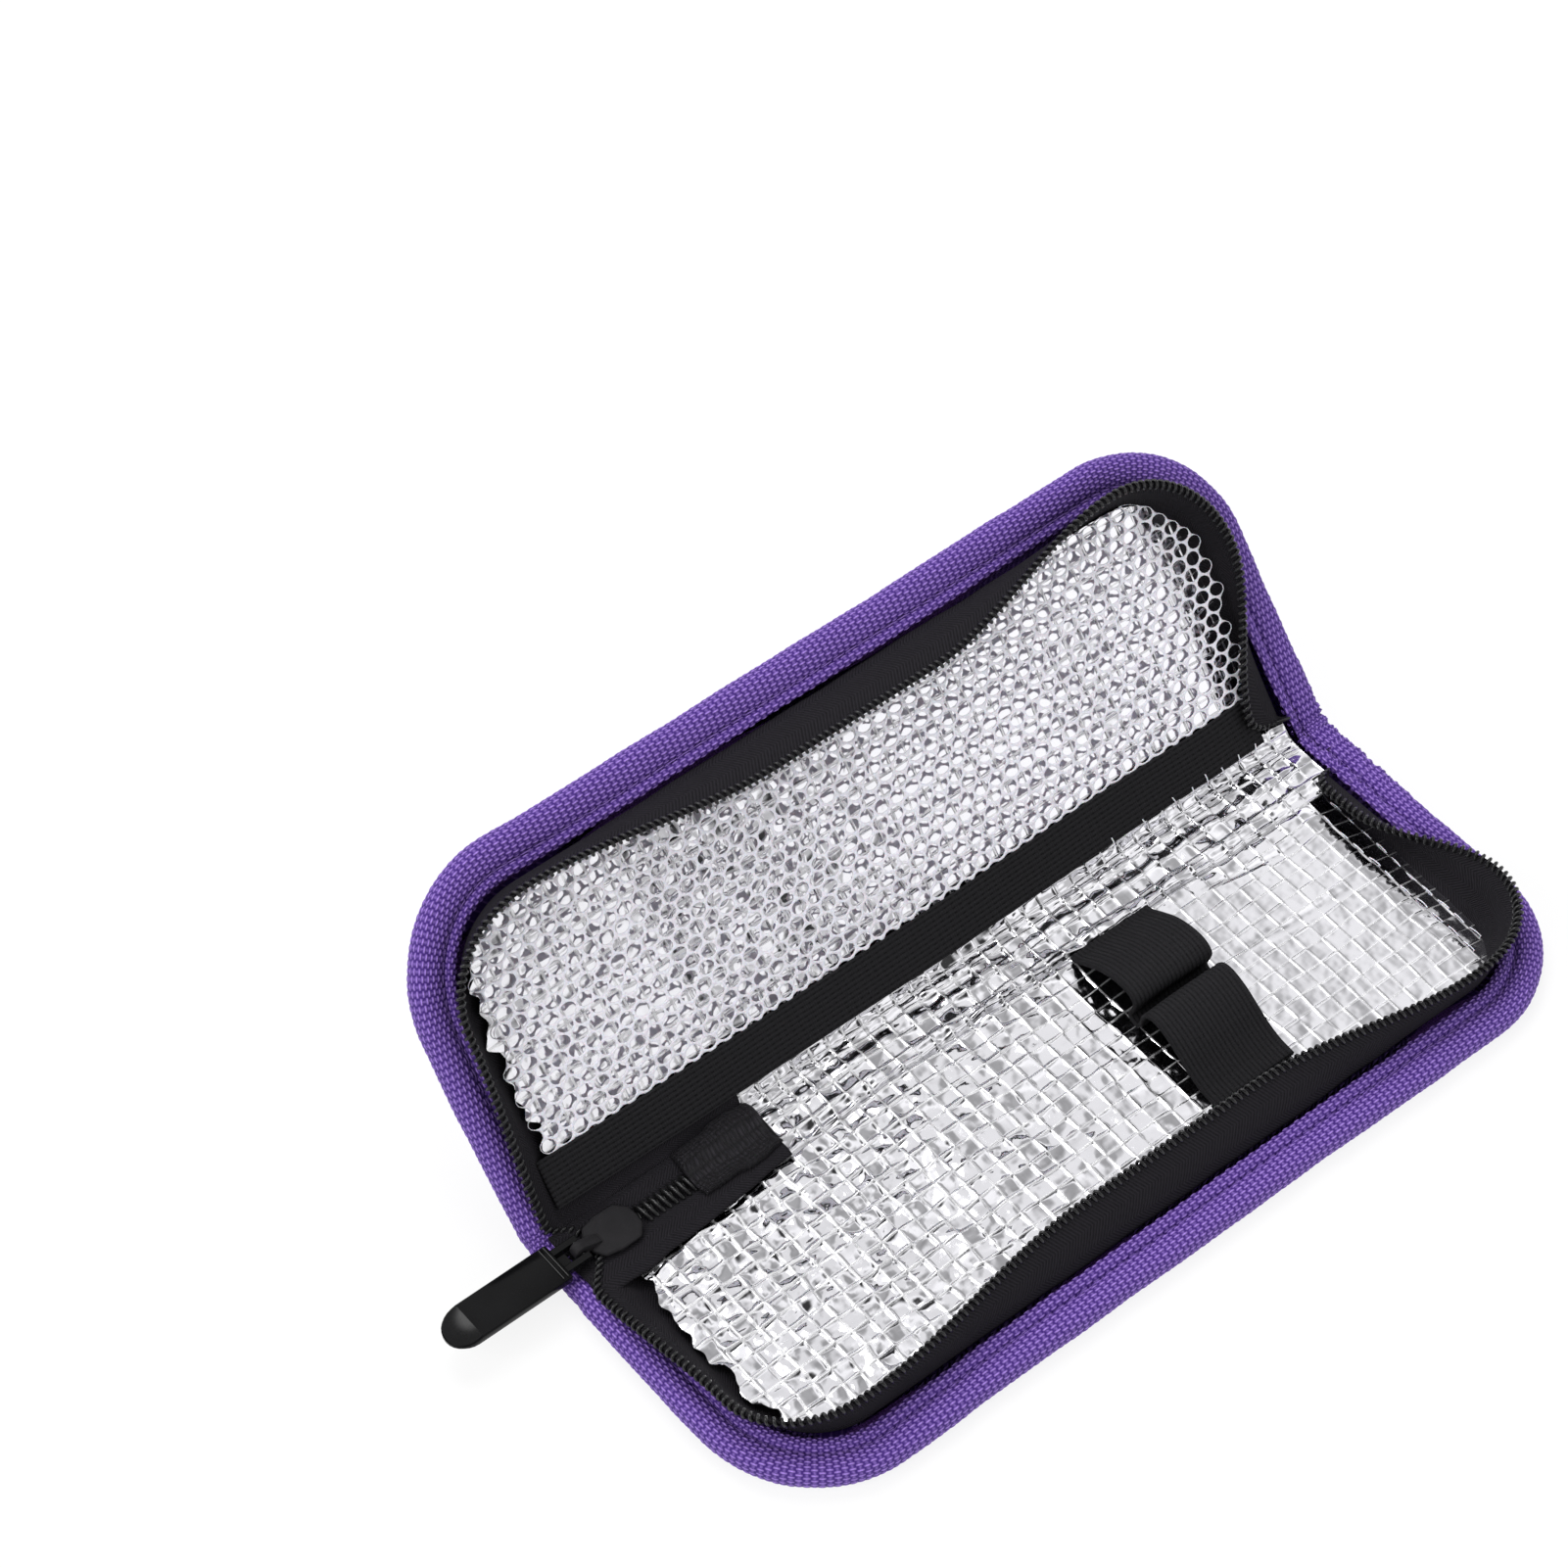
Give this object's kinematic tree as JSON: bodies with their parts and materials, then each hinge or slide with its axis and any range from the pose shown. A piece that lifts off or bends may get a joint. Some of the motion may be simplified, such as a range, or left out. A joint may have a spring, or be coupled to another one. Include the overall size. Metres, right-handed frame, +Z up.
{
  "type": "insulin cooling case",
  "caption": "Padded zip case with a foil lining, an elastic strap of pen loops, a net pocket in the lid and a zip slider with a flat puller, open on a table.",
  "frame": {"origin": "on the table under the middle of the base panel", "axes": "+X along the case towards the right end, -Y towards the user, +Z up"},
  "size_m": [0.2246, 0.1262, 0.0612],
  "materials": {
    "cover_cloth": "plain woven cloth, slight sheen",
    "binding_webbing": "coarse woven webbing",
    "insulation_foam": "matte closed-cell foam",
    "foil_lining": "bright crumpled foil with a raised scrim",
    "zip_tape": "twill tape",
    "zip_coil": "satin",
    "elastic_webbing": "ribbed elastic",
    "pocket_net": "knitted net",
    "slider_paint": "matte",
    "puller_enamel": "gloss"
  },
  "bodies": {
    "base": {"base_cover": "cover_cloth", "base_foam": "insulation_foam", "base_lining": "foil_lining", "base_binding": "binding_webbing", "base_zip_tape": "zip_tape", "base_zip_coil": "zip_coil", "pen_strap": "elastic_webbing"},
    "spine": {"spine_cover": "cover_cloth", "spine_foam": "insulation_foam", "spine_lining": "foil_lining", "spine_binding_left": "binding_webbing", "spine_binding_right": "binding_webbing", "zip_closed_tail": "zip_coil", "zip_end_tab": "zip_tape"},
    "lid": {"lid_cover": "cover_cloth", "lid_foam": "insulation_foam", "lid_lining": "foil_lining", "lid_binding": "binding_webbing", "lid_zip_tape": "zip_tape", "lid_zip_coil": "zip_coil", "pocket_net": "pocket_net", "pocket_elastic": "elastic_webbing"},
    "slider": {"zip_slider": "slider_paint"},
    "puller": {"pull_tab": "puller_enamel"}
  },
  "joints": [
    {"name": "spine_fold", "type": "hinge", "parent": "base", "child": "spine", "pos_m": [0, 0.0315, 0.0019], "axis": [1, 0, 0], "range_deg": [0, 73]},
    {"name": "lid_fold", "type": "hinge", "parent": "spine", "child": "lid", "pos_m": [0, 0.0465, 0.0019], "axis": [1, 0, 0], "range_deg": [-48.6, 41.4]},
    {"name": "slider_slide", "type": "slide", "parent": "spine", "child": "slider", "axis": [-1, 0, 0], "range_m": [-0.012, 0]},
    {"name": "puller_hinge", "type": "hinge", "parent": "slider", "child": "puller", "pos_m": [-0.0941, 0.0378, 0.0073], "axis": [0, -1, 0], "range_deg": [-168, 0]}
  ]
}
